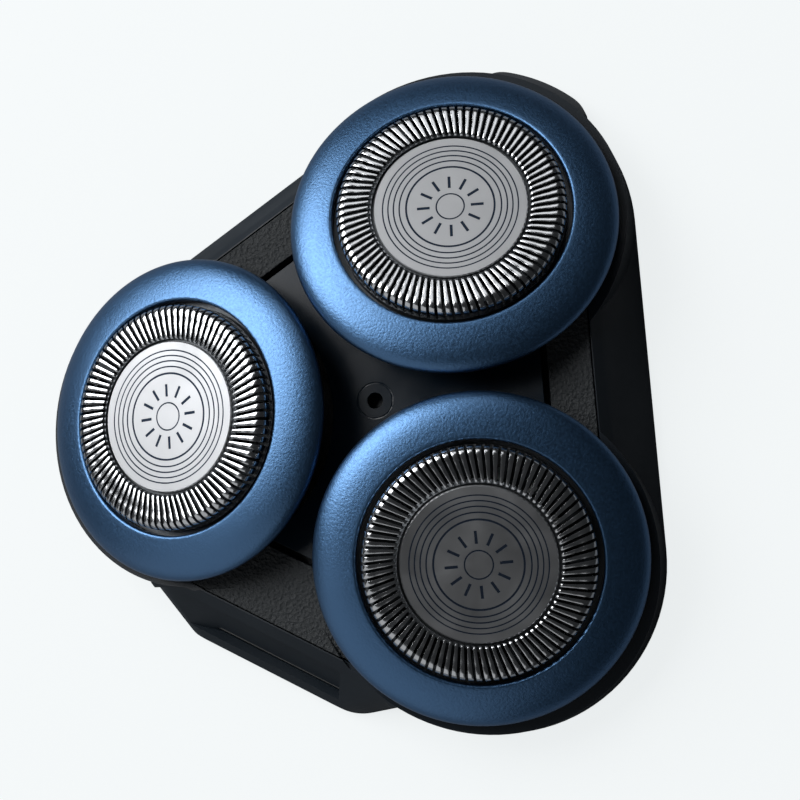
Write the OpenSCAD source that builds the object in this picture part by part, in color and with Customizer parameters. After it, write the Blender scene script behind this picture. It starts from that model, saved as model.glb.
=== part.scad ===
// Rotary shaver head: three round cutting heads in one clip-in holder.
// Each head leans outward, swings inward on two hinge pins and carries a
// floating slotted cap with a spinning cutter under it.
// The origin is the mouth of the centre socket, in the plane of the lower rim.
// +Z points up out of the caps and +Y points to the rear head.

/* [Layout] */
// Radius of the circle on which the three heads stand
head_circle_r = 18.5; // [18.2:0.1:19.5]
// Height of a head's opening above the lower rim
head_height = 11; // [10.8:0.1:12]
// Outward lean of each head in degrees
head_lean = 15.3; // [13:0.1:16]
// Inward swing of each head about its pins in degrees
head_swing = 8; // [4:0.5:8]

/* [Trim ring] */
// Radius of the ring's opening
ring_open_r = 11; // [10.6:0.1:11]
// Width of the ring from its opening to its rim
ring_w = 4.3; // [4:0.1:4.4]
// Height of the ring
ring_t = 2.4; // [2.2:0.1:2.6]
// Thickness of the lip that holds the cap down
lip_t = 0.9; // [0.7:0.1:1]

/* [Slotted cap] */
// Number of slots
slot_count = 86; // [60:1:90]
// Width of a slot
slot_w = 0.28; // [0.2:0.01:0.3]
// Turn of a slot away from the radius in degrees
slot_sweep = 11.5; // [0:0.5:15]
// Gap between the cap and the ring
cap_gap = 0.5; // [0.4:0.05:0.7]
// Height of the slotted track above the ring's opening
cap_proud = 1.15; // [0.9:0.05:1.4]
// Wall of the cap
cap_t = 0.35; // [0.3:0.01:0.4]
// Radius of the cap's outer shoulder
cap_shoulder = 0.8; // [0.6:0.05:0.9]
// Width of the slotted track
track_w = 3.1; // [2.9:0.05:3.2]
// Lift of the cap on its seat
cap_float = 0.6; // [0.3:0.05:0.7]

/* [Centre disc] */
// Thickness of the disc
disc_t = 0.45; // [0.35:0.05:0.5]
// Step from the slotted track down to the disc
disc_step = 0.25; // [0.15:0.05:0.3]
// Width of an etched line
etch_w = 0.13; // [0.1:0.01:0.16]
// Depth of an etched line
etch_d = 0.05; // [0.03:0.01:0.08]
// Number of short marks round the disc's middle
mark_count = 12; // [6:1:18]

/* [Cutter] */
// Number of blades
blade_count = 15; // [9:1:15]
// Thickness of a blade
blade_t = 0.35; // [0.25:0.05:0.4]
// Lean of a blade from upright in degrees
blade_rake = 32; // [15:1:35]
// Thickness of the plate that the blades rise from
cutter_plate_t = 0.3; // [0.25:0.05:0.4]
// Drop from the top of the blades to the plate
blade_h = 2; // [1.8:0.1:2.2]

/* [Drive hub] */
// Radius of the hub's stem
stem_r = 3.1; // [2.9:0.1:3.4]
// Radius of the drive socket
socket_r = 1.6; // [1.3:0.1:1.8]
// Depth of the drive socket
socket_h = 3.5; // [3:0.1:3.8]

/* [Head carrier] */
// Wall of the carrier
carrier_wall = 0.9; // [0.8:0.05:1]
// Depth of the carrier below the ring's opening
carrier_h = 6.2; // [6.1:0.1:6.4]
// Distance of the hinge pins outward from the head's middle
pin_out = 6; // [5.5:0.1:6.5]
// Depth of the hinge pins below the ring's opening
pin_drop = 4.6; // [4.5:0.05:4.7]
// Radius of a hinge pin
pin_r = 0.85; // [0.7:0.05:0.9]

/* [Holder] */
// Wall of the holder
wall = 1.6; // [1.4:0.1:1.8]
// Height of the panels' faces above the lower rim
deck_h = 7.6; // [7.4:0.1:7.8]
// Thickness of the panels and of the centre plate
panel_t = 1.5; // [1.2:0.1:1.6]
// Distance of the side panels' outer edge from the middle
side_seam = 20.4; // [20:0.1:20.8]
// Distance of the front panel's outer edge from the middle
front_seam = 22.7; // [22.2:0.1:23]
// Reach of the front grip beyond the side walls
grip_reach = 3; // [2:0.1:3.5]
// Reach of the rear lip beyond the rim
lip_reach = 1.3; // [0.8:0.1:1.6]
// Diameter of the small hole in the centre plate
plate_hole_d = 1.5; // [1:0.1:2]

/* [Retaining frame] */
// Thickness of the retaining frame
frame_t = 1.4; // [1.2:0.1:1.6]
// Radius of the centre socket
centre_bore_r = 2; // [1.6:0.1:2.2]
// Radius of a screw's shank
screw_r = 0.75; // [0.6:0.05:0.8]

/* [Hidden] */
REAR = 90;
LEFT = 210;
RIGHT = 330;
HEADS = [REAR, LEFT, RIGHT];
SIDE_RIGHT = 30;
SIDE_LEFT = 150;
FRONT = 270;
SIDES = [SIDE_RIGHT, SIDE_LEFT, FRONT];

$fn = 96;
over = 20;

// Clearances
touch = 0.05;
slide_play = 0.1;
pin_play = 0.08;
snap = 0.1;
swing_play = 0.6;
seat_gap = 0.2;
panel_play = 0.1;

// Head radii, from the cap outward
cap_r = ring_open_r - cap_gap;
track_in_r = cap_r - track_w;
disc_r = track_in_r - 0.2;
cap_catch = 0.6;
cap_flange_r = ring_open_r + cap_catch;
carrier_in_r = cap_flange_r + slide_play;
carrier_r = carrier_in_r + carrier_wall;
ring_r = ring_open_r + ring_w;
carrier_seat_r = ring_r - 1.4;
well_r = carrier_r + swing_play;
ring_room_r = ring_r + swing_play;

// Head heights, measured from the plane of the ring's opening
cap_flange_t = 0.5;
cap_flange_z = -lip_t - cap_float - slide_play;
cap_foot_z = cap_flange_z - cap_flange_t;
ledge_z = cap_foot_z - touch;
ledge_t = 0.7;
seat_t = 0.5;
room_floor_z = -ring_t - seat_t - seat_gap;
disc_z = cap_proud - disc_step;
disc_bed_z = disc_z - disc_t;
slot_foot_z = -0.6;
blade_z = cap_proud - cap_t - 0.08;
plate_z = blade_z - blade_h;

// Cutter and hub
blade_in_r = track_in_r + cap_t + 0.15;
blade_out_r = cap_r - cap_t - 0.2;
stake_r = 2.2;
hub_top_r = 4.2;
hub_top_t = 0.8;
stop_r = 4.6;
stop_t = 0.6;
retainer_t = 0.8;
retainer_eye_t = 1.45;
retainer_eye_z = -carrier_h + retainer_eye_t;
stop_z = retainer_eye_z + 0.15;
stem_z = -carrier_h - 0.2;
groove_t = 0.6;
groove_lip_t = 0.25;
bayonet_w = 3;

// Holder
well_circle_r = head_circle_r - pin_drop * sin(head_lean);
cup_circle_r = head_circle_r - 0.5;
half_pitch = cup_circle_r * sin(60);
head_out = cup_circle_r * cos(60);
cup_r = ring_r + 0.3;
side_out = head_out + cup_r;
foot_h = 1.2;
bevel_drop = 1.4;
bevel_run = 1.2;
deck_t = 1.2;
bed_h = deck_h - panel_t;
bed_half = 9;
centre_line = 16;
centre_gap = 0.6;
grip_half = 9.3;
grip_root = 13.3;
pin_end = carrier_r + 1.1;
slot_end = pin_end + 0.2;
frame_floor = 0.8;
frame_top = frame_floor + frame_t;
bay_r = 12.9;
bay_circle_r = head_circle_r - 2;
boss_r = 3.4;
screw_out = 13;
screw_boss_r = 1.6;
screw_head_r = 1.4;
screw_head_t = 0.7;

// Points of an arc
function arc(x, y, rx, ry, from, to, steps) =
    [for (i = [0:steps]) let (a = from + (to - from) * i / steps) [x + rx * cos(a), y + ry * sin(a)]];

// Point of the plan so far out on a side and so far along it
function side_point(az, out, along) = [out * cos(az) - along * sin(az), out * sin(az) + along * cos(az)];

// Places a child drawn on a head's own axis, with x pointing outward
module at_head(az) {
    rotate([0, 0, az]) translate([head_circle_r, 0, head_height]) rotate([0, head_lean, 0]) children();
}

// Places a child on a side of the holder, with x pointing outward
module at_side(az) {
    rotate([0, 0, az]) children();
}

// Room over a cup for the ring: its floor dips inward by the swing, about the hinge pins
module ring_room() {
    bend = pin_out - (pin_drop + room_floor_z) * tan(head_swing / 2);
    dip = 2 * pin_out * tan(head_swing);
    rotate([90, 0, 0]) linear_extrude(2 * ring_room_r, center = true) polygon([
        [bend - 2 * pin_out, over], [bend - 2 * pin_out, room_floor_z - dip],
        [bend, room_floor_z], [over, room_floor_z], [over, over]
    ]);
}

// Rooms for the rings and upright wells for the carriers, through the deck
module head_rooms() {
    for (az = HEADS) at_head(az) ring_room();
    for (az = HEADS) rotate([0, 0, az]) translate([well_circle_r, 0, -1]) cylinder(r = well_r, h = over);
}

// Plan outline of the holder at its rim, drawn in by inset
module rim_plan(inset) {
    r = cup_r - inset;
    for (az = HEADS) rotate(az) translate([cup_circle_r, 0]) circle(r = r);
    polygon([for (az = [SIDE_RIGHT, SIDE_LEFT]) each [
        side_point(az, head_out + r, -half_pitch), side_point(az, head_out + r, half_pitch)
    ]]);
    grip_plan(inset);
}

// Plan of the front grip, a trapezium that stands out from the rim
module grip_plan(inset) {
    edge = side_out + grip_reach - inset;
    rotate(FRONT) polygon([
        [0, -grip_root + inset], [side_out - inset, -grip_root + inset], [edge, -grip_half + inset],
        [edge, grip_half - inset], [side_out - inset, grip_root - inset], [0, grip_root - inset]
    ]);
}

// Section of a side wall: an upright foot, a long slope and a bevel up to the seam
module side_section(out, seam) {
    polygon([
        [0, 0], [out, 0], [out, foot_h], [seam + bevel_run, deck_h - bevel_drop],
        [seam + slide_play, deck_h], [0, deck_h]
    ]);
}

module side_wall(az, out, seam, half_length) {
    at_side(az) rotate([90, 0, 0]) linear_extrude(2 * half_length, center = true) side_section(out, seam);
}

// Shallow scoop for a fingertip in the slope of the front grip
module grip_scoop() {
    rise = deck_h - bevel_drop - foot_h;
    run = side_out + grip_reach - front_seam - bevel_run;
    slope = atan2(rise, run);
    scoop_half = 7.4;
    scoop_h = 3.4;
    scoop_d = 0.8;
    at_side(FRONT) translate([side_out + grip_reach - run / 2, 0, foot_h + rise / 2])
        rotate([0, slope, 0]) translate([-scoop_h / 2, 0, 0]) rotate([90, 0, 90]) linear_extrude(scoop_h)
            polygon([
                [-scoop_half, over / 10], [-scoop_half, 0], [-scoop_half + 1.6, -scoop_d],
                [scoop_half - 1.6, -scoop_d], [scoop_half, 0], [scoop_half, over / 10]
            ]);
}

// Rear lip that hooks under the edge of the razor
module rear_lip() {
    lip_half = 5.2;
    lip_h = 1.8;
    rotate([0, 0, REAR]) translate([cup_circle_r, 0, 0]) intersection() {
        cylinder(r = cup_r + lip_reach, h = lip_h);
        translate([0, -lip_half, 0]) cube([over, 2 * lip_half, lip_h]);
    }
}

// Hinge slots, open at the bottom and a little narrower than the pins, which snap in
module hinge_slots() {
    for (s = [-1, 1]) {
        translate([pin_out, s * slot_end, -pin_drop]) rotate([90 * s, 0, 0])
            cylinder(r = pin_r + pin_play, h = slot_end - pin_out);
        translate([pin_out - pin_r + snap, min(s * slot_end, s * pin_out), -pin_drop - over])
            cube([2 * (pin_r - snap), slot_end - pin_out, over]);
    }
}

module housing() {
    color("#16212b") difference() {
        union() {
            for (az = HEADS) rotate([0, 0, az]) translate([cup_circle_r, 0, 0]) cylinder(r = cup_r, h = deck_h);
            for (az = [SIDE_RIGHT, SIDE_LEFT]) side_wall(az, side_out, side_seam, half_pitch);
            intersection() {
                linear_extrude(deck_h) grip_plan(0);
                side_wall(FRONT, side_out + grip_reach, front_seam, half_pitch);
            }
            rear_lip();
        }
        head_rooms();
        for (az = HEADS) at_head(az) hinge_slots();
        translate([0, 0, bed_h]) linear_extrude(panel_t + 1) arms_plan(bed_half, front_seam, side_seam);
        translate([0, 0, -1]) linear_extrude(frame_top + 1) rim_plan(wall);
        difference() {
            translate([0, 0, -1]) linear_extrude(bed_h - deck_t + 1) deck_hollow_plan();
            for (az = SIDES) at_side(az) translate([screw_out, 0, frame_top])
                cylinder(r = screw_boss_r, h = bed_h);
        }
        for (az = SIDES) at_side(az) translate([screw_out, 0, 0]) cylinder(r = screw_r, h = bed_h - deck_t);
        grip_scoop();
    }
}

// Plan of the hollow under the deck
module deck_hollow_plan() {
    intersection() {
        circle(r = head_circle_r + 1.5);
        arms_plan(bed_half, front_seam - wall, side_seam - wall);
    }
}

// Plan of three arms from the middle, one to each side
module arms_plan(half, front_end, side_end) {
    polygon([for (az = SIDES) let (end = az == FRONT ? front_end : side_end) each [
        side_point(az, end, -half), side_point(az, end, half), side_point(az + 60, half / sin(60), 0)
    ]]);
}

module side_panel(az, seam) {
    color("#34383b") difference() {
        at_side(az) translate([centre_line + centre_gap / 2, -bed_half + panel_play, bed_h])
            cube([seam - panel_play - centre_line - centre_gap / 2, 2 * (bed_half - panel_play), panel_t]);
        head_rooms();
    }
}

module centre_plate() {
    plate_end = centre_line - centre_gap / 2;
    color("#14222f") difference() {
        translate([0, 0, bed_h]) linear_extrude(panel_t) arms_plan(bed_half - panel_play, plate_end, plate_end);
        head_rooms();
        translate([0, 0, bed_h - 1]) cylinder(d = plate_hole_d, h = over);
        translate([0, 0, deck_h - etch_d]) difference() {
            cylinder(d = plate_hole_d + 2, h = 1);
            cylinder(d = plate_hole_d + 1.7, h = 1);
        }
    }
}

// Posts that close the hinge slots from below
module hinge_posts() {
    post_z = pin_drop + pin_r + pin_play;
    post_foot = (head_height - pin_out * sin(head_lean) - frame_floor - frame_t / 2) / cos(head_lean);
    post_w = 0.9;
    post_half = pin_r - snap - touch;
    for (s = [-1, 1]) translate([pin_out, s * (slot_end - slide_play - post_w / 2), -post_foot])
        translate([-post_half, -post_w / 2, 0]) cube([2 * post_half, post_w, post_foot - post_z]);
}

module retaining_frame() {
    color("#2a2f33") difference() {
        union() {
            difference() {
                translate([0, 0, frame_floor]) linear_extrude(frame_t) rim_plan(wall + panel_play);
                for (az = HEADS) rotate([0, 0, az]) translate([bay_circle_r, 0, 0]) cylinder(r = bay_r, h = over);
            }
            for (az = HEADS) at_head(az) hinge_posts();
            cylinder(r = boss_r, h = bed_h - deck_t);
        }
        translate([0, 0, -1]) cylinder(r = centre_bore_r, h = bed_h - deck_t);
        for (az = SIDES) at_side(az) translate([screw_out, 0, 0]) {
            cylinder(r = screw_r + slide_play, h = over);
            cylinder(r = screw_head_r + slide_play, h = frame_floor + screw_head_t);
        }
    }
}

module frame_screws() {
    color("#8c9196") for (az = SIDES) at_side(az) translate([screw_out, 0, frame_floor]) {
        difference() {
            cylinder(r = screw_head_r, h = screw_head_t);
            for (turn = [0, 90]) rotate([0, 0, turn]) translate([-0.8, -0.15, -1]) cube([1.6, 0.3, 1.3]);
        }
        cylinder(r = screw_r - touch, h = bed_h - deck_t - frame_floor - 0.2);
    }
}

// Crowned ring with a thin lip over the cap's flange and a hollow underside
module ring(az) {
    crown_t = ring_t / 2;
    lip_round = 0.25;
    draw_in = 0.9;
    at_head(az) color("#3f6f9f") rotate_extrude() polygon(concat(
        [[ring_open_r, -lip_t]],
        arc(ring_open_r + lip_round, -lip_round, lip_round, lip_round, 180, 90, 4),
        arc(ring_open_r + lip_round, -crown_t, ring_w - lip_round, crown_t, 88, 0, 18),
        arc(ring_r - draw_in, -crown_t, draw_in, ring_t - crown_t, -10, -90, 6),
        [
            [carrier_r + touch, -ring_t], [carrier_r + touch, -lip_t]
        ]
    ));
}

// Tube that carries one head: a seat for the ring, a ledge for the cap,
// a groove for the retainer and two hinge pins
module carrier(az) {
    rim_z = -lip_t - touch;
    at_head(az) color("#20262b") difference() {
        union() {
            rotate_extrude() polygon([
                [carrier_in_r, rim_z], [carrier_r, rim_z], [carrier_r, -ring_t],
                [carrier_seat_r, -ring_t], [carrier_seat_r, -ring_t - seat_t],
                [carrier_r, -ring_t - seat_t], [carrier_r, -carrier_h], [carrier_in_r, -carrier_h],
                [carrier_in_r, -carrier_h + groove_lip_t], [carrier_in_r + 0.45, -carrier_h + groove_lip_t],
                [carrier_in_r + 0.45, -carrier_h + groove_lip_t + groove_t],
                [carrier_in_r, -carrier_h + groove_lip_t + groove_t], [carrier_in_r, ledge_z - ledge_t],
                [cap_r + slide_play, ledge_z - ledge_t], [cap_r + slide_play, ledge_z], [carrier_in_r, ledge_z]
            ]);
            for (s = [-1, 1]) translate([pin_out, s * pin_end, -pin_drop]) rotate([90 * s, 0, 0])
                cylinder(r = pin_r, h = pin_end - sqrt(pow(carrier_in_r, 2) - pow(pin_out - pin_r, 2)) - touch / 2);
        }
        for (turn = [0, 120, 240]) rotate([0, 0, turn]) translate([carrier_in_r - 1, -bayonet_w / 2 - 0.2, -carrier_h - 1])
            cube([1.45, bayonet_w + 0.4, 1 + groove_lip_t + groove_t / 2]);
    }
}

// Drawn steel cap: slotted track, sunk middle, side wall and foot flange
module cap(az) {
    inner_r = cap_r - cap_t;
    track_z = cap_proud;
    under_z = cap_proud - cap_t;
    groove_r = track_in_r + 0.52 * track_w;
    slot_mid = track_in_r + track_w / 2;
    at_head(az) color("#c9ccd0") difference() {
        rotate_extrude() polygon(concat(
            [[0, disc_bed_z - cap_t], [0, disc_bed_z], [disc_r + touch, disc_bed_z], [disc_r + touch, track_z]],
            [[groove_r - 0.25, track_z], [groove_r, track_z - 0.1], [groove_r + 0.25, track_z]],
            arc(cap_r - cap_shoulder, track_z - cap_shoulder, cap_shoulder, cap_shoulder, 90, 0, 4),
            [[cap_r, cap_flange_z], [cap_flange_r, cap_flange_z], [cap_flange_r, cap_foot_z], [inner_r, cap_foot_z]],
            arc(cap_r - cap_shoulder, track_z - cap_shoulder, cap_shoulder - cap_t, cap_shoulder - cap_t, 0, 90, 2),
            [[track_in_r + cap_t, under_z], [track_in_r + cap_t, disc_bed_z - cap_t]]
        ));
        for (i = [0:slot_count - 1]) rotate([0, 0, i * 360 / slot_count]) translate([slot_mid, 0, slot_foot_z])
            rotate([0, 0, slot_sweep]) translate([-track_w / 2 + 0.1, -slot_w / 2, 0]) cube([2 * track_w, slot_w, over]);
    }
}

// Centre disc with etched circles and short marks round the middle
module disc(az) {
    circles = [0.18, 0.57, 0.66, 0.735, 0.805, 0.875];
    mark_in = 0.26;
    mark_out = 0.42;
    at_head(az) color("#a8acb0") difference() {
        rotate_extrude() polygon(concat(
            [[0, disc_bed_z], [0, disc_z]],
            [for (k = circles) each [
                [k * disc_r - etch_w / 2, disc_z], [k * disc_r - etch_w / 2, disc_z - etch_d],
                [k * disc_r + etch_w / 2, disc_z - etch_d], [k * disc_r + etch_w / 2, disc_z]
            ]],
            [[disc_r - 0.1, disc_z], [disc_r, disc_z - 0.1], [disc_r, disc_bed_z]]
        ));
        for (i = [0:mark_count - 1]) rotate([0, 0, i * 360 / mark_count])
            translate([mark_in * disc_r, -etch_w, disc_z - etch_d])
                cube([(mark_out - mark_in) * disc_r, 2 * etch_w, 1]);
    }
}

// Stamped steel cutter: a flat plate with raked blades lifted round its rim
module cutter(az) {
    blade_mid = (blade_in_r + blade_out_r) / 2;
    at_head(az) color("#b6babd") difference() {
        union() {
            translate([0, 0, plate_z - cutter_plate_t]) cylinder(r = blade_out_r, h = cutter_plate_t);
            intersection() {
                translate([0, 0, plate_z - cutter_plate_t / 2]) difference() {
                    cylinder(r = blade_out_r, h = blade_h + cutter_plate_t / 2);
                    translate([0, 0, -1]) cylinder(r = blade_in_r, h = over);
                }
                for (i = [0:blade_count - 1]) rotate([0, 0, i * 360 / blade_count])
                    translate([blade_mid, 0, plate_z - cutter_plate_t]) rotate([-blade_rake, 0, slot_sweep])
                        translate([-track_w / 2, -blade_t / 2, 0]) cube([track_w, blade_t, 2 * blade_h]);
            }
        }
        translate([0, 0, plate_z - 1]) cylinder(r = stake_r + touch, h = over);
        for (i = [0:blade_count - 1]) rotate([0, 0, (i + 0.5) * 360 / blade_count])
            translate([blade_in_r - 1.2, -0.3, plate_z - 1]) cube([over, 0.6, 1.5]);
    }
}

// Moulded hub staked through the cutter, with the drive socket in its stem
module hub(az) {
    under_z = plate_z - cutter_plate_t;
    at_head(az) color("#d9d6cc") difference() {
        rotate_extrude() polygon([
            [0, stem_z], [stem_r - 0.2, stem_z], [stem_r, stem_z + 0.2], [stem_r, stop_z], [stop_r, stop_z],
            [stop_r, stop_z + stop_t], [stem_r, stop_z + stop_t], [stem_r, under_z - hub_top_t],
            [hub_top_r, under_z - hub_top_t], [hub_top_r, under_z], [stake_r, under_z], [stake_r, plate_z],
            [stake_r + 0.7, plate_z], [stake_r + 0.5, plate_z + 0.4], [0, plate_z + 0.4]
        ]);
        translate([0, 0, stem_z - 1]) cylinder(r = socket_r, h = socket_h + 1);
        translate([-2.3, -0.45, stem_z - 1]) cube([4.6, 0.9, 3]);
    }
}

// Quarter-turn retainer under a head, with three spokes and an eye for the hub
module retainer(az) {
    rim_r = carrier_in_r - slide_play;
    rim_w = 1.4;
    eye_r = stem_r + 0.25;
    at_head(az) color("#3a4046") translate([0, 0, -carrier_h]) {
        difference() {
            union() {
                difference() {
                    cylinder(r = rim_r, h = retainer_t);
                    translate([0, 0, -1]) cylinder(r = rim_r - rim_w, h = over);
                }
                for (turn = [60, 180, 300]) rotate([0, 0, turn]) {
                    translate([eye_r + 0.5, -0.9, 0]) cube([rim_r - rim_w / 2 - eye_r - 0.5, 1.8, retainer_t]);
                    intersection() {
                        translate([0, 0, groove_lip_t + touch]) cylinder(r = rim_r + 0.45, h = groove_t - 2 * touch);
                        translate([rim_r - rim_w / 2, -bayonet_w / 2, 0]) cube([over, bayonet_w, retainer_t]);
                    }
                }
                cylinder(r = eye_r + 1.4, h = retainer_eye_t);
            }
            translate([0, 0, -1]) cylinder(r = eye_r, h = over);
        }
    }
}

housing();
centre_plate();
side_panel(FRONT, front_seam);  // panel_front
side_panel(SIDE_LEFT, side_seam);  // panel_left
side_panel(SIDE_RIGHT, side_seam);  // panel_right
retaining_frame();
frame_screws();
ring(REAR);  // ring_rear
ring(LEFT);  // ring_left
ring(RIGHT);  // ring_right
carrier(REAR);  // carrier_rear
carrier(LEFT);  // carrier_left
carrier(RIGHT);  // carrier_right
cap(REAR);  // cap_rear
cap(LEFT);  // cap_left
cap(RIGHT);  // cap_right
disc(REAR);  // disc_rear
disc(LEFT);  // disc_left
disc(RIGHT);  // disc_right
cutter(REAR);  // cutter_rear
cutter(LEFT);  // cutter_left
cutter(RIGHT);  // cutter_right
hub(REAR);  // hub_rear
hub(LEFT);  // hub_left
hub(RIGHT);  // hub_right
retainer(REAR);  // retainer_rear
retainer(LEFT);  // retainer_left
retainer(RIGHT);  // retainer_right
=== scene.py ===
import math

import bpy
from mathutils import Matrix, Vector


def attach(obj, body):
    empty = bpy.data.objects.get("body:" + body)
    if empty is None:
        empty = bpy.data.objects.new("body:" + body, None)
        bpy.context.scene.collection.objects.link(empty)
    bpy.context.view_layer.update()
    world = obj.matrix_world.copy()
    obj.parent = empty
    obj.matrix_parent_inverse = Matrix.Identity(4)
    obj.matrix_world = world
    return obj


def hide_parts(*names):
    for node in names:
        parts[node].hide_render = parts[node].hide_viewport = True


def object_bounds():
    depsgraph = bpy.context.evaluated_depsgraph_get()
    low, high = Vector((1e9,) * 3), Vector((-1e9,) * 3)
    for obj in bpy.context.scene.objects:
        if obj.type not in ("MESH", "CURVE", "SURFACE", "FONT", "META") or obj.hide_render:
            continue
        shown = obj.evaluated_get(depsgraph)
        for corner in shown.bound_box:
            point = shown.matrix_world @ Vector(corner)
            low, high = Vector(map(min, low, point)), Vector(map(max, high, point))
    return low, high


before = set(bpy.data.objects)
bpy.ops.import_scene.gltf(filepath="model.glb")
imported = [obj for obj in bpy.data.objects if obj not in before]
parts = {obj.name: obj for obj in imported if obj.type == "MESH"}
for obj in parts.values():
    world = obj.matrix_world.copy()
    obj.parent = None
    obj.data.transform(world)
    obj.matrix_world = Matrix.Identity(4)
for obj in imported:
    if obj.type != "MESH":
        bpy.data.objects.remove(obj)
cad_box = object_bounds()

# Camera
# The head is seen from above and from its right, some 17 cm away, turned a quarter
# to the left, through a lens of moderate length.
right = Vector((0.8745, 0.42, -0.2427)).normalized()
back = Vector((0.2759, -0.0193, 0.961))
back = (back - back.project(right)).normalized()
camera = bpy.data.objects.new("camera", bpy.data.cameras.new("camera"))
camera.data.lens = 86.4
camera.data.clip_start = 0.01
camera.matrix_world = Matrix.LocRotScale(
    (0.0509, -0.0024, 0.1774),
    Matrix((right, back.cross(right), back)).transposed().to_quaternion(),
    None,
)
bpy.context.scene.collection.objects.link(camera)
bpy.context.scene.camera = camera


# Studio
# A white table top under a plain surround. A soft window stands high on the left, and two
# weak fills in front and behind keep the far sides readable.
def linear(hex_colour):
    """An sRGB hex colour as linear RGBA."""
    values = [int(hex_colour[i:i + 2], 16) / 255 for i in (1, 3, 5)]
    return [v / 12.92 if v <= 0.04045 else ((v + 0.055) / 1.055) ** 2.4 for v in values] + [1.0]


def add(tree, kind, values, **settings):
    """Adds a node. Values are its inputs, each a number, a colour or the socket that feeds it."""
    made = tree.nodes.new("ShaderNode" + kind)
    for name, value in settings.items():
        setattr(made, name, value)
    for name, value in values.items():
        if isinstance(value, bpy.types.NodeSocket):
            tree.links.new(value, made.inputs[name])
        else:
            made.inputs[name].default_value = value
    return made


# The table is plain matt paint. For the camera it glows white, and ambient occlusion fades that
# glow under the head and beside it: a painted shade, which stays dark under the head and keeps the
# shadow beside it.
white = linear("#F8FCFD")
table_paint = bpy.data.materials.new("matt white table")
table_paint.use_nodes = True
tree = table_paint.node_tree
tree.nodes.clear()
seen = add(tree, "LightPath", {}).outputs["Is Camera Ray"]
# Painted shade: ambient occlusion takes the white glow away under and beside the head
painted_shade_occlusion = add(tree, "AmbientOcclusion", {"Distance": 0.02}, samples=8).outputs["AO"]
glow_outside_painted_shade = add(tree, "MapRange", {"Value": painted_shade_occlusion, "From Min": 0.15, "From Max": 0.4, "To Max": 0.86})
share = add(tree, "Math", {0: seen, 1: glow_outside_painted_shade.outputs[0]}, operation="MULTIPLY")
shade = add(tree, "MixRGB", {"Fac": seen, "Color1": linear("#8E9296"), "Color2": linear("#F8FAFB")})
place = add(tree, "TexCoord", {}).outputs["Object"]
# Brush grain, some 1.1 mm across
grain = add(tree, "TexNoise", {"Vector": place, "Scale": 900.0, "Detail": 3.0})
relief = add(tree, "Bump", {"Height": grain.outputs["Fac"], "Strength": 0.1, "Distance": 0.0002})
matt = add(tree, "BsdfDiffuse", {"Color": shade.outputs[0], "Normal": relief.outputs["Normal"]})
glow = add(tree, "Emission", {"Color": white})
both = add(tree, "MixShader", {0: share.outputs[0], 1: matt.outputs[0], 2: glow.outputs[0]})
add(tree, "OutputMaterial", {"Surface": both.outputs[0]})

bpy.ops.mesh.primitive_plane_add(size=6, location=(0, 0, cad_box[0].z - 0.00005))
table = bpy.context.object
table.name = "table"
table.data.materials.append(table_paint)

world = bpy.data.worlds.new("white surround")
bpy.context.scene.world = world
world.use_nodes = True
tree = world.node_tree
tree.nodes.clear()
rays = add(tree, "LightPath", {})
surround = add(tree, "Background", {"Color": linear("#E8ECF0"), "Strength": 0.03})
backdrop = add(tree, "Background", {"Color": white, "Strength": 1.0})
seen = rays.outputs["Is Camera Ray"]
both = add(tree, "MixShader", {0: seen, 1: surround.outputs[0], 2: backdrop.outputs[0]})
add(tree, "OutputWorld", {"Surface": both.outputs[0]})

lit_point = Vector((0, 0, 0.008))
for name, place, size, watts in (
    ("window", (-0.333, 0.05, 0.368), 0.36, 2.4),
    ("front fill", (-0.06, -0.50, 0.22), 0.75, 0.9),
    ("rear fill", (-0.20, 0.41, 0.46), 0.25, 0.25),
):
    lamp = bpy.data.objects.new(name, bpy.data.lights.new(name, "AREA"))
    lamp.data.size = size
    lamp.data.energy = watts
    lamp.location = place
    lamp.rotation_mode = "QUATERNION"
    lamp.rotation_quaternion = (Vector(place) - lit_point).to_track_quat("Z", "Y")
    bpy.context.scene.collection.objects.link(lamp)

bpy.context.scene.view_settings.view_transform = "Standard"


# Trim rings
# Moulded ABS with a satin blue metallic lacquer. The lacquer dries with a fine leathery
# skin, so the broad highlights break up into small specks. Each ring is pressed onto the
# carrier of its head; the heads stand 18.5 mm out and lean outward.
TURNS = {"rear": 90, "left": 210, "right": 330}
HEAD_OUT = 0.0185
HEAD_UP = 0.011
HEAD_LEAN = math.radians(15.3)
HEADS = {
    name: Matrix.Rotation(math.radians(turn), 4, "Z")
    @ Matrix.Translation((HEAD_OUT, 0, HEAD_UP))
    @ Matrix.Rotation(HEAD_LEAN, 4, "Y")
    for name, turn in TURNS.items()
}


def finish(name, colour, metallic, roughness):
    """A new material and its shader: the colour, metal and roughness of one finish."""
    made = bpy.data.materials.new(name)
    made.use_nodes = True
    shader = made.node_tree.nodes["Principled BSDF"]
    shader.inputs["Base Color"].default_value = linear(colour)
    shader.inputs["Metallic"].default_value = metallic
    shader.inputs["Roughness"].default_value = roughness
    return made, made.node_tree, shader


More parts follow.
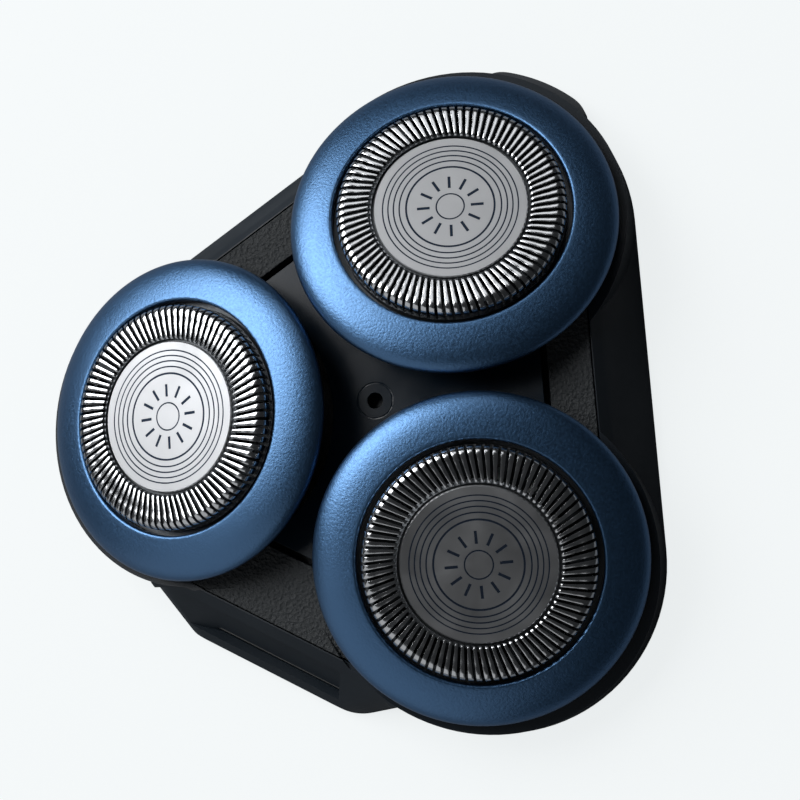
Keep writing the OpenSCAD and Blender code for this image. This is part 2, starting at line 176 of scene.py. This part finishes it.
def turned(name, section, steps, closed=True):
    """A piece turned about Z from a section given in millimetres as radius and height."""
    bpy.ops.object.select_all(action="DESELECT")
    bpy.ops.mesh.primitive_circle_add(vertices=len(section), radius=0.01)
    piece = bpy.context.object
    piece.name = piece.data.name = name
    for corner, (r, z) in zip(piece.data.vertices, section):
        corner.co = (r / 1000, 0, z / 1000)
    bpy.ops.object.mode_set(mode="EDIT")
    if not closed:
        bpy.ops.mesh.select_all(action="DESELECT")
        bpy.ops.object.mode_set(mode="OBJECT")
        for edge in piece.data.edges:
            edge.select = set(edge.vertices) == {0, len(section) - 1}
        bpy.ops.object.mode_set(mode="EDIT")
        bpy.ops.mesh.select_mode(type="EDGE")
        bpy.ops.mesh.delete(type="EDGE_FACE")
        bpy.ops.mesh.select_mode(type="VERT")
    bpy.ops.mesh.select_all(action="SELECT")
    bpy.ops.mesh.spin(steps=steps, angle=math.tau, center=(0, 0, 0), axis=(0, 0, 1))
    bpy.ops.mesh.select_all(action="SELECT")
    bpy.ops.mesh.remove_doubles(threshold=1e-7)
    bpy.ops.mesh.normals_make_consistent(inside=False)
    bpy.ops.object.mode_set(mode="OBJECT")
    return piece


def arc(x, z, rx, rz, first, last, steps):
    """Points of an elliptic arc in a section, from one angle in degrees to another."""
    angles = [math.radians(first + (last - first) * i / steps) for i in range(steps + 1)]
    return [(x + rx * math.cos(a), z + rz * math.sin(a)) for a in angles]


def on_heads(piece, node_stem, body_stem):
    """Sets a piece, modelled on the Z axis, on each head in place of that head's CAD node."""
    for name, place in HEADS.items():
        copy = bpy.data.objects.new(piece.name + "_" + name, piece.data.copy())
        bpy.context.scene.collection.objects.link(copy)
        copy.data.transform(place)
        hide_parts(node_stem + "_" + name)
        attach(copy, body_stem + "_" + name)
    bpy.data.objects.remove(piece)


lacquer, tree, shader = finish("satin blue metallic lacquer", "#4A6F97", 1.0, 0.36)
shader.inputs["Coat Weight"].default_value = 0.35
shader.inputs["Coat Roughness"].default_value = 0.3
place = add(tree, "TexCoord", {}).outputs["Object"]
# Wrinkles of the dried skin, some 0.24 mm apart
skin = add(tree, "TexNoise", {"Vector": place, "Scale": 4200.0, "Detail": 3.0, "Roughness": 0.55})
relief = add(tree, "Bump", {"Height": skin.outputs["Fac"], "Strength": 0.55, "Distance": 0.00005})
tree.links.new(relief.outputs["Normal"], shader.inputs["Normal"])
tree.links.new(relief.outputs["Normal"], shader.inputs["Coat Normal"])
sheen = add(tree, "MapRange", {
    "Value": skin.outputs["Fac"],
    "From Min": 0.3, "From Max": 0.7, "To Min": 0.33, "To Max": 0.45,
})
tree.links.new(sheen.outputs[0], shader.inputs["Roughness"])

ring_open, ring_edge, carrier_bore = 11.0, 15.13, 12.65
lip_top, crown_foot, under = -0.9, -1.95, -2.4
lip_round = 0.25
crown_w, crown_h = 7.0, 2.187
skirt_w = 0.8
lip = arc(ring_open + lip_round, -lip_round, lip_round, lip_round, 180, 95, 5)
crown = arc(ring_edge - crown_w, crown_foot, crown_w, crown_h, 63, 2, 30)
skirt = arc(ring_edge - skirt_w, crown_foot, skirt_w, crown_foot - under, -4, -90, 8)
inside = [(carrier_bore, under), (carrier_bore, lip_top)]
ring = turned("trim_ring", [(ring_open, lip_top)] + lip + crown + skirt + inside, 160)
bpy.ops.object.shade_smooth_by_angle(angle=math.radians(40))
ring.data.materials.append(lacquer)
on_heads(ring, "ring", "head")

# Slotted caps
# Drawn from thin stainless strip, slotted by a fine wheel and barrel polished, so every
# bar is rounded along its edges and rolls over at both ends. The flange below, which holds
# the cap in its carrier, and the bed of the disc keep the rougher drawn skin, and their steel is
# painted dark: a painted shade for the gaps and the groove they lie in.
steel, tree, shader = finish("polished stainless steel", "#C9CCD0", 1.0, 0.2)
place = add(tree, "TexCoord", {}).outputs["Object"]
# Smears from the polishing barrel, some 1.1 mm across
rub = add(tree, "TexNoise", {"Vector": place, "Scale": 900.0, "Detail": 4.0})
sheen = add(tree, "MapRange", {"Value": rub.outputs["Fac"], "To Min": 0.14, "To Max": 0.24})
tree.links.new(sheen.outputs[0], shader.inputs["Roughness"])
# Painted shade: the dark base colour stands for the shade in the gaps round the flange and the disc
# bed
drawn_steel_painted_shade, tree, shader = finish("drawn steel darkened as painted shade", "#5A5D60", 1.0, 0.5)
place = add(tree, "TexCoord", {}).outputs["Object"]
# Drawing marks, some 0.33 mm across
drawn = add(tree, "TexNoise", {"Vector": place, "Scale": 3000.0, "Detail": 4.0})
sheen = add(tree, "MapRange", {"Value": drawn.outputs["Fac"], "To Min": 0.4, "To Max": 0.6})
tree.links.new(sheen.outputs[0], shader.inputs["Roughness"])

BARS = 86
SLOT_HALF = 0.14
SLOT_FROM = 6.95
SWEEP = math.radians(11.5)
# The line of a bar runs from its inner end over the shallow groove to the shoulder.
cap_r, cap_top = 10.5, 1.15
track_in, roll_r, shoulder_r = 7.25, 0.3, 0.8
groove_r, groove_half, groove_d = 9.005, 0.25, 0.02
bar_end, bar_foot = 0.78, -0.75
roll = arc(track_in + roll_r, cap_top - roll_r, roll_r, roll_r, 180, 90, 4)
groove = [
    (groove_r - groove_half, cap_top),
    (groove_r, cap_top - groove_d),
    (groove_r + groove_half, cap_top),
]
shoulder = arc(cap_r - shoulder_r, cap_top - shoulder_r, shoulder_r, shoulder_r, 90, 0, 6)
line = [(track_in, bar_end)] + roll + groove + shoulder + [(cap_r, bar_foot)]


def slot_side(radius, offset):
    """Angle, at a radius, of a line beside the middle of a swept slot."""
    along = Vector((math.cos(SWEEP), math.sin(SWEEP)))
    start = Vector((SLOT_FROM - offset * along.y, offset * along.x))
    ahead = start.dot(along)
    reach = -ahead + math.sqrt(ahead ** 2 - start.length_squared + radius ** 2)
    end = start + reach * along
    return math.atan2(end.y, end.x)


bpy.ops.object.select_all(action="DESELECT")
bpy.ops.mesh.primitive_grid_add(x_subdivisions=len(line) - 1, y_subdivisions=1, size=1)
bar = bpy.context.object
columns = sorted(bar.data.vertices, key=lambda v: (round(v.co.x, 5), v.co.y))
for i, (r, z) in enumerate(line):
    angles = (slot_side(r, SLOT_HALF), slot_side(r, -SLOT_HALF) + math.tau / BARS)
    for corner, angle in zip(columns[2 * i:2 * i + 2], angles):
        corner.co = (r * math.cos(angle) / 1000, r * math.sin(angle) / 1000, z / 1000)
wall = bar.modifiers.new("wall", "SOLIDIFY")
wall.thickness = 0.00035
wall.offset = -1
rolled = bar.modifiers.new("rolled edges", "BEVEL")
rolled.width = 0.00006
rolled.segments = 2
rolled.limit_method = "ANGLE"
rolled.angle_limit = math.radians(50)
bpy.ops.object.modifier_apply(modifier="wall")
bpy.ops.object.modifier_apply(modifier="rolled edges")
bpy.ops.object.shade_smooth_by_angle(angle=math.radians(40))

# Section of the skirt and flange, and of the bed that carries the disc
foot_top, foot_in_top, foot_in = -0.7, -0.6, 10.15
flange_r, flange_top, flange_under = 11.6, -1.6, -2.1
foot = [
    (cap_r, foot_top), (cap_r, flange_top), (flange_r, flange_top), (flange_r, flange_under),
    (foot_in, flange_under), (foot_in, foot_in_top),
]
bed_r, bed_under, bed_top = 7.6, 0.1, 0.45
bed_edge, track_top = 0.64, 0.8
bed = [
    (0, bed_under), (bed_r, bed_under), (bed_r, bed_edge),
    (track_in, track_top), (track_in, bed_top), (0, bed_top),
]
cap = turned("slotted_cap", foot, 172)
cap.data.materials.append(drawn_steel_painted_shade)
middle = turned("bed", bed, 96, closed=False)
middle.data.materials.append(drawn_steel_painted_shade)
bar.data.materials.append(steel)
bars = []
for i in range(BARS):
    one = bpy.data.objects.new("bar", bar.data.copy())
    one.data.transform(Matrix.Rotation(math.tau * i / BARS, 4, "Z"))
    bpy.context.scene.collection.objects.link(one)
    bars.append(one)
bpy.data.objects.remove(bar)
bpy.ops.object.select_all(action="DESELECT")
for one in bars + [middle, cap]:
    one.select_set(True)
bpy.context.view_layer.objects.active = cap
bpy.ops.object.join()
on_heads(cap, "cap", "float")

# Centre discs
# Thin stainless discs, blasted to a satin grey, then etched with fine circles and short
# marks that hold a dark blue grey. They are bonded into the beds of the caps.
disc_r, disc_top, chamfer = 7.05, 0.9, 0.1
blank = [
    (0, bed_top), (disc_r, bed_top), (disc_r, disc_top - chamfer),
    (disc_r - chamfer, disc_top), (0, disc_top),
]
disc = turned("centre_disc", blank, 96, closed=False)
bpy.ops.object.shade_smooth_by_angle(angle=math.radians(30))
map_w = 16
flat = disc.data.uv_layers.new(name="face")
for corner in disc.data.loops:
    x, y, _ = disc.data.vertices[corner.vertex_index].co
    flat.data[corner.index].uv = (0.5 + 1000 * x / map_w, 0.5 + 1000 * y / map_w)

satin, tree, shader = finish("blasted and etched stainless steel", "#A9ABAE", 1.0, 0.38)
face = add(tree, "UVMap", {}, uv_map="face").outputs[0]
across = add(tree, "VectorMath", {
    0: face, 1: (map_w, map_w, 0), 2: (-map_w / 2, -map_w / 2, 0),
}, operation="MULTIPLY_ADD").outputs[0]
apart = add(tree, "SeparateXYZ", {"Vector": across})
radius = add(tree, "VectorMath", {0: across}, operation="LENGTH").outputs["Value"]
angle = add(tree, "Math", {
    0: apart.outputs["Y"], 1: apart.outputs["X"],
}, operation="ARCTAN2").outputs[0]
MARKS = 12
mark_half, mark_middle, mark_reach = 0.13, 2.45, 0.58
aside = add(tree, "Math", {0: angle, 1: math.pi / MARKS}, operation="PINGPONG").outputs[0]
aside = add(tree, "Math", {0: aside, 1: radius}, operation="MULTIPLY").outputs[0]
narrow = add(tree, "Math", {0: aside, 1: mark_half}, operation="LESS_THAN").outputs[0]
within = add(tree, "Math", {
    0: radius, 1: mark_middle, 2: mark_reach,
}, operation="COMPARE").outputs[0]
etched = add(tree, "Math", {0: narrow, 1: within}, operation="MULTIPLY").outputs[0]
# Radius and half width of each etched circle
for circle, half in (
    (1.27, 0.065), (4.02, 0.09), (4.65, 0.065), (5.18, 0.065), (5.68, 0.06), (6.17, 0.06),
):
    near = add(tree, "Math", {0: radius, 1: circle, 2: half}, operation="COMPARE").outputs[0]
    etched = add(tree, "Math", {0: etched, 1: near}, operation="MAXIMUM").outputs[0]
place = add(tree, "TexCoord", {}).outputs["Object"]
# Pits of the blasting grit, some 0.11 mm across, and finger smudges of about 4 mm
blast = add(tree, "TexNoise", {"Vector": place, "Scale": 9000.0, "Detail": 2.0})
smudge = add(tree, "TexNoise", {"Vector": place, "Scale": 260.0, "Detail": 5.0, "Distortion": 0.6})
bare = add(tree, "MapRange", {
    "Value": smudge.outputs["Fac"],
    "From Min": 0.3, "From Max": 0.75, "To Min": 0.33, "To Max": 0.46,
})
rough = add(tree, "MixRGB", {
    "Fac": etched, "Color1": bare.outputs[0], "Color2": (0.6, 0.6, 0.6, 1),
})
tree.links.new(rough.outputs[0], shader.inputs["Roughness"])
colour = add(tree, "MixRGB", {
    "Fac": etched, "Color1": linear("#A9ABAE"), "Color2": linear("#2B3442"),
})
tree.links.new(colour.outputs[0], shader.inputs["Base Color"])
height = add(tree, "Math", {0: blast.outputs["Fac"], 1: 0.12}, operation="MULTIPLY").outputs[0]
height = add(tree, "Math", {0: height, 1: etched}, operation="SUBTRACT").outputs[0]
relief = add(tree, "Bump", {"Height": height, "Strength": 0.5, "Distance": 0.00004})
tree.links.new(relief.outputs["Normal"], shader.inputs["Normal"])
disc.data.materials.append(satin)
on_heads(disc, "disc", "float")


# Cutters
# Stamped from hard stainless strip and ground. Their steel is painted dull and dark, a painted
# shade for the blades seen behind the slots, with a fine ground sheen.
def wear(material, names):
    """Gives each CAD node its finish."""
    for name in names:
        for slot in parts[name].material_slots:
            slot.material = material


# Painted shade: the dark base colour stands for the shade behind the slots
blade_steel_painted_shade, tree, shader = finish("ground blade steel", "#3A3D40", 1.0, 0.6)
place = add(tree, "TexCoord", {}).outputs["Object"]
# Grinding marks, some 0.14 mm across
grind = add(tree, "TexNoise", {"Vector": place, "Scale": 7000.0, "Detail": 3.0})
sheen = add(tree, "MapRange", {"Value": grind.outputs["Fac"], "To Min": 0.55, "To Max": 0.7})
tree.links.new(sheen.outputs[0], shader.inputs["Roughness"])
wear(blade_steel_painted_shade, ["cutter_rear", "cutter_left", "cutter_right"])

# Carriers and retainers
# Moulded in black acetal, which has a waxy sheen. The carriers hold the rings and turn on
# the hinge pins; the retainers lock from below by a quarter turn.
acetal, tree, shader = finish("black moulded acetal", "#101316", 0.0, 0.45)
place = add(tree, "TexCoord", {}).outputs["Object"]
# Flow marks of the moulding, some 0.7 mm across
flow = add(tree, "TexNoise", {"Vector": place, "Scale": 1500.0, "Detail": 4.0})
relief = add(tree, "Bump", {"Height": flow.outputs["Fac"], "Strength": 0.2, "Distance": 0.00002})
tree.links.new(relief.outputs["Normal"], shader.inputs["Normal"])
sheen = add(tree, "MapRange", {"Value": flow.outputs["Fac"], "To Min": 0.36, "To Max": 0.55})
tree.links.new(sheen.outputs[0], shader.inputs["Roughness"])
wear(acetal, [stem + "_" + name for stem in ("carrier", "retainer") for name in HEADS])

# Drive hubs
# Moulded in natural acetal, an ivory white that lets a little light in, and staked in the
# cutters.
ivory, tree, shader = finish("ivory moulded acetal", "#D9D6CC", 0.0, 0.4)
shader.inputs["Subsurface Weight"].default_value = 0.15
shader.inputs["Subsurface Scale"].default_value = 0.0008
place = add(tree, "TexCoord", {}).outputs["Object"]
# Flow marks, some 0.8 mm across
flow = add(tree, "TexNoise", {"Vector": place, "Scale": 1200.0, "Detail": 4.0})
sheen = add(tree, "MapRange", {"Value": flow.outputs["Fac"], "To Min": 0.32, "To Max": 0.5})
tree.links.new(sheen.outputs[0], shader.inputs["Roughness"])
wear(ivory, ["hub_" + name for name in HEADS])


# Housing
# One moulding in navy black ABS with a fine spark-eroded satin, its edges broken by a
# small radius. Everything else is fixed to it.
def pick(piece):
    """Makes a piece the active one and the only one that is selected."""
    bpy.ops.object.select_all(action="DESELECT")
    bpy.context.view_layer.objects.active = piece
    piece.select_set(True)


def merged(name, material):
    """A copy of a CAD node with the facets of each flat face merged."""
    copy = bpy.data.objects.new(name + "_moulding", parts[name].data.copy())
    bpy.context.scene.collection.objects.link(copy)
    pick(copy)
    copy.data.materials.clear()
    copy.data.materials.append(material)
    bpy.ops.object.mode_set(mode="EDIT")
    bpy.ops.mesh.select_all(action="SELECT")
    bpy.ops.mesh.remove_doubles(threshold=1e-6)
    bpy.ops.mesh.dissolve_limited(angle_limit=math.radians(0.5))
    bpy.ops.object.mode_set(mode="OBJECT")
    return copy


def softened(copy, name, body, width):
    """Breaks the edges of a merged copy and shows it in place of its node."""
    pick(copy)
    edges = copy.modifiers.new("broken edges", "BEVEL")
    edges.width = width
    edges.segments = 2
    edges.limit_method = "ANGLE"
    edges.angle_limit = math.radians(25)
    edges.use_clamp_overlap = True
    bpy.ops.object.modifier_apply(modifier="broken edges")
    bpy.ops.object.shade_smooth_by_angle(angle=math.radians(35))
    level = copy.modifiers.new("flat faces stay flat", "WEIGHTED_NORMAL")
    level.weight = 100
    level.keep_sharp = True
    bpy.ops.object.modifier_apply(modifier="flat faces stay flat")
    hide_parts(name)
    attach(copy, body)


def cut(piece, tool):
    """Takes the shape of a tool out of a piece."""
    pick(piece)
    taken = piece.modifiers.new("taken out", "BOOLEAN")
    taken.object = tool
    taken.operation = "DIFFERENCE"
    taken.solver = "EXACT"
    bpy.ops.object.modifier_apply(modifier="taken out")
    bpy.data.objects.remove(tool)


def face_outward():
    """Turns the faces of the active piece outward."""
    bpy.ops.object.mode_set(mode="EDIT")
    bpy.ops.mesh.select_all(action="SELECT")
    bpy.ops.mesh.normals_make_consistent(inside=False)
    bpy.ops.object.mode_set(mode="OBJECT")


def bar_tool(outline, along):
    """A cutting tool: a flat outline in millimetres, drawn out along a vector."""
    bpy.ops.object.select_all(action="DESELECT")
    bpy.ops.mesh.primitive_circle_add(vertices=len(outline), radius=0.01, fill_type="NGON")
    tool = bpy.context.object
    for corner, point in zip(tool.data.vertices, outline):
        corner.co = Vector(point) / 1000
    bpy.ops.object.mode_set(mode="EDIT")
    bpy.ops.mesh.select_all(action="SELECT")
    bpy.ops.mesh.extrude_region_move(TRANSFORM_OT_translate={"value": Vector(along) / 1000})
    bpy.ops.object.mode_set(mode="OBJECT")
    face_outward()
    return tool


def corner_tool(corner, along, first, second, radius):
    """A cutting tool that rounds the corner between two faces, given by their normals."""
    turn = first.angle(second)
    middle = (first + second).normalized()
    centre = corner - middle * radius / math.cos(turn / 2)
    rim = []
    steps = 8
    for i in range(steps + 1):
        outward = first * math.sin(turn * (1 - i / steps)) + second * math.sin(turn * i / steps)
        rim.append(centre + radius * outward / math.sin(turn))
    clear = [rim[-1] + 1.5 * second, corner + 3 * middle, rim[0] + 1.5 * first]
    return bar_tool(rim + clear, along)


navy, tree, shader = finish("satin navy moulded ABS", "#0E1922", 0.0, 0.42)
place = add(tree, "TexCoord", {}).outputs["Object"]
# Spark-eroded grain, some 0.24 mm across
spark = add(tree, "TexNoise", {"Vector": place, "Scale": 4200.0, "Detail": 3.0})
relief = add(tree, "Bump", {"Height": spark.outputs["Fac"], "Strength": 0.25, "Distance": 0.00002})
tree.links.new(relief.outputs["Normal"], shader.inputs["Normal"])
# Patches rubbed smoother by handling, some 8 mm across
handled = add(tree, "TexNoise", {"Vector": place, "Scale": 120.0, "Detail": 6.0})
sheen = add(tree, "MapRange", {
    "Value": handled.outputs["Fac"],
    "From Min": 0.3, "From Max": 0.7, "To Min": 0.44, "To Max": 0.6,
})
tree.links.new(sheen.outputs[0], shader.inputs["Roughness"])
shader.inputs["Specular IOR Level"].default_value = 0.35
housing = merged("housing", navy)

# The front grip narrows in plan to 9.3 mm either side, and its slope leans in from an
# upright foot. Both corners are well rounded.
grip_half, grip_out, foot_h = 9.3, 27.6, 1.2
slope_run, slope_rise, flank_run = 3.7, 5.0, 4.933
corner_r = 4
grip_foot = Vector((0, -grip_out, foot_h))
up_slope = Vector((0, slope_run, slope_rise)).normalized()
off_slope = Vector((0, -slope_rise, slope_run)).normalized()
for side in (-1, 1):
    flank = Vector((0.6 * side, -0.8, 0))
    lower = Vector((grip_half * side, -grip_out, -1))
    cut(housing, corner_tool(lower, (0, 0, 3.2), Vector((0, -1, 0)), flank, corner_r))
    lean = Vector((flank_run * side, slope_run, slope_rise)).normalized()
    start = grip_foot + Vector((grip_half * side, 0, 0)) - 2 * lean
    cut(housing, corner_tool(start, 7.8 * lean, off_slope, flank, corner_r))

# A scoop for a fingertip takes most of the slope: its floor rises to the bevel above, its
# left end runs out softly and its right end is steep. Floor and mouth are given as left and
# right, lower and upper ends on the slope, and height off it.
bpy.ops.mesh.primitive_cube_add(size=0.01)
scoop = bpy.context.object
floor = ((-5.9, 7.1), (1.36, 4.9), -0.85)
mouth = ((-10.8, 7.57), (1.30, 6.59), 0.3)
for corner in scoop.data.vertices:
    across, up, off = mouth if corner.co.z > 0 else floor
    place = grip_foot + up_slope * up[corner.co.y > 0] + off_slope * off
    place.x = across[corner.co.x > 0]
    corner.co = place / 1000
face_outward()
cut(housing, scoop)

# The lip at the rear stands 0.85 mm out of its cup and rounds off at both ends.
cup_out, cup_r, lip_reach = 18, 15.62, 0.83
full_turn, end_turn = 12, 7.5
edge = []
for turn in range(-22, 23):
    past = max(0, (abs(turn) - full_turn) / end_turn)
    out = cup_r + lip_reach * math.sqrt(max(0, 1 - past ** 2))
    angle = math.radians(turn)
    edge.append((out * math.sin(angle), cup_out + out * math.cos(angle), -1))
outside = [(7.4, 36.5, -1), (0, 38.5, -1), (-7.4, 36.5, -1)]
cut(housing, bar_tool(edge + outside, (0, 0, 4)))
softened(housing, "housing", "holder", 0.00015)

# Panels
# Moulded in dark grey plastic with a leathery grain, and clipped into the deck. The grain
# is drawn a little coarse, so that it shows.
grained, tree, shader = finish("grained dark grey moulded plastic", "#25292C", 0.0, 0.6)
place = add(tree, "TexCoord", {}).outputs["Object"]
# Pebbles some 0.36 mm across, with pores of 0.15 mm between them
pebble = add(tree, "TexVoronoi", {"Vector": place, "Scale": 2800.0})
pores = add(tree, "TexNoise", {"Vector": place, "Scale": 6500.0, "Detail": 3.0})
grain = add(tree, "Math", {0: pebble.outputs["Distance"], 1: pores.outputs["Fac"]}, operation="ADD")
relief = add(tree, "Bump", {"Height": grain.outputs[0], "Strength": 0.9, "Distance": 0.00012})
tree.links.new(relief.outputs["Normal"], shader.inputs["Normal"])
shader.inputs["Specular IOR Level"].default_value = 0.35
for name in ("panel_front", "panel_left", "panel_right"):
    softened(merged(name, grained), name, "holder", 0.0001)

# Centre plate
# Moulded in smooth navy plastic, which mirrors faintly, and clipped between the heads. It
# has the small hole with its fine ring.
smooth, tree, shader = finish("smooth navy moulded plastic", "#0D1A25", 0.0, 0.3)
place = add(tree, "TexCoord", {}).outputs["Object"]
# Faint smudges, some 3 mm across
handled = add(tree, "TexNoise", {"Vector": place, "Scale": 300.0, "Detail": 6.0})
sheen = add(tree, "MapRange", {
    "Value": handled.outputs["Fac"],
    "From Min": 0.3, "From Max": 0.7, "To Min": 0.18, "To Max": 0.28,
})
tree.links.new(sheen.outputs[0], shader.inputs["Roughness"])
shader.inputs["Specular IOR Level"].default_value = 0.3
softened(merged("centre_plate", smooth), "centre_plate", "holder", 0.00003)

# Retaining frame and its screws
# The frame is moulded in black glass-filled nylon, which has a dull fibrous surface; the
# screws are zinc plated steel. Its webs close each bay from the middle up to the opening
# for the drive spindle.
nylon, tree, shader = finish("black glass filled nylon", "#181B1E", 0.0, 0.55)
place = add(tree, "TexCoord", {}).outputs["Object"]
# Glass fibres that rise to the surface, some 0.4 mm long
fibre = add(tree, "TexNoise", {"Vector": place, "Scale": 2400.0, "Detail": 5.0, "Distortion": 1.2})
relief = add(tree, "Bump", {"Height": fibre.outputs["Fac"], "Strength": 0.3, "Distance": 0.00003})
tree.links.new(relief.outputs["Normal"], shader.inputs["Normal"])
wear(nylon, ["retaining_frame"])
bay_out, spindle_out, web_end, web_middle = 0.0165, 0.0159, 0.020, 0.0015
web_r, web_t, spindle_r = 0.01285, 0.0014, 0.0075
block = 0.03
bpy.ops.mesh.primitive_cylinder_add(
    vertices=96, radius=web_r, depth=web_t, location=(bay_out, 0, web_middle),
)
web = bpy.context.object
web.name = web.data.name = "frame_web"
bpy.ops.object.transform_apply(location=True, rotation=False, scale=False)
bpy.ops.mesh.primitive_cylinder_add(
    vertices=64, radius=spindle_r, depth=0.004, location=(spindle_out, 0, web_middle),
)
cut(web, bpy.context.object)
bpy.ops.mesh.primitive_cube_add(size=block, location=(web_end + block / 2, 0, web_middle))
cut(web, bpy.context.object)
web.data.materials.clear()
web.data.materials.append(nylon)
for name, turn in TURNS.items():
    copy = bpy.data.objects.new("frame_web_" + name, web.data.copy())
    bpy.context.scene.collection.objects.link(copy)
    copy.data.transform(Matrix.Rotation(math.radians(turn), 4, "Z"))
    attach(copy, "holder")
bpy.data.objects.remove(web)
zinc, tree, shader = finish("zinc plated steel", "#9A9DA0", 1.0, 0.35)
place = add(tree, "TexCoord", {}).outputs["Object"]
# Bloom of the plating, in patches of about 0.6 mm
bloom = add(tree, "TexNoise", {"Vector": place, "Scale": 1800.0, "Detail": 4.0})
sheen = add(tree, "MapRange", {"Value": bloom.outputs["Fac"], "To Min": 0.28, "To Max": 0.5})
tree.links.new(sheen.outputs[0], shader.inputs["Roughness"])
wear(zinc, ["frame_screws"])
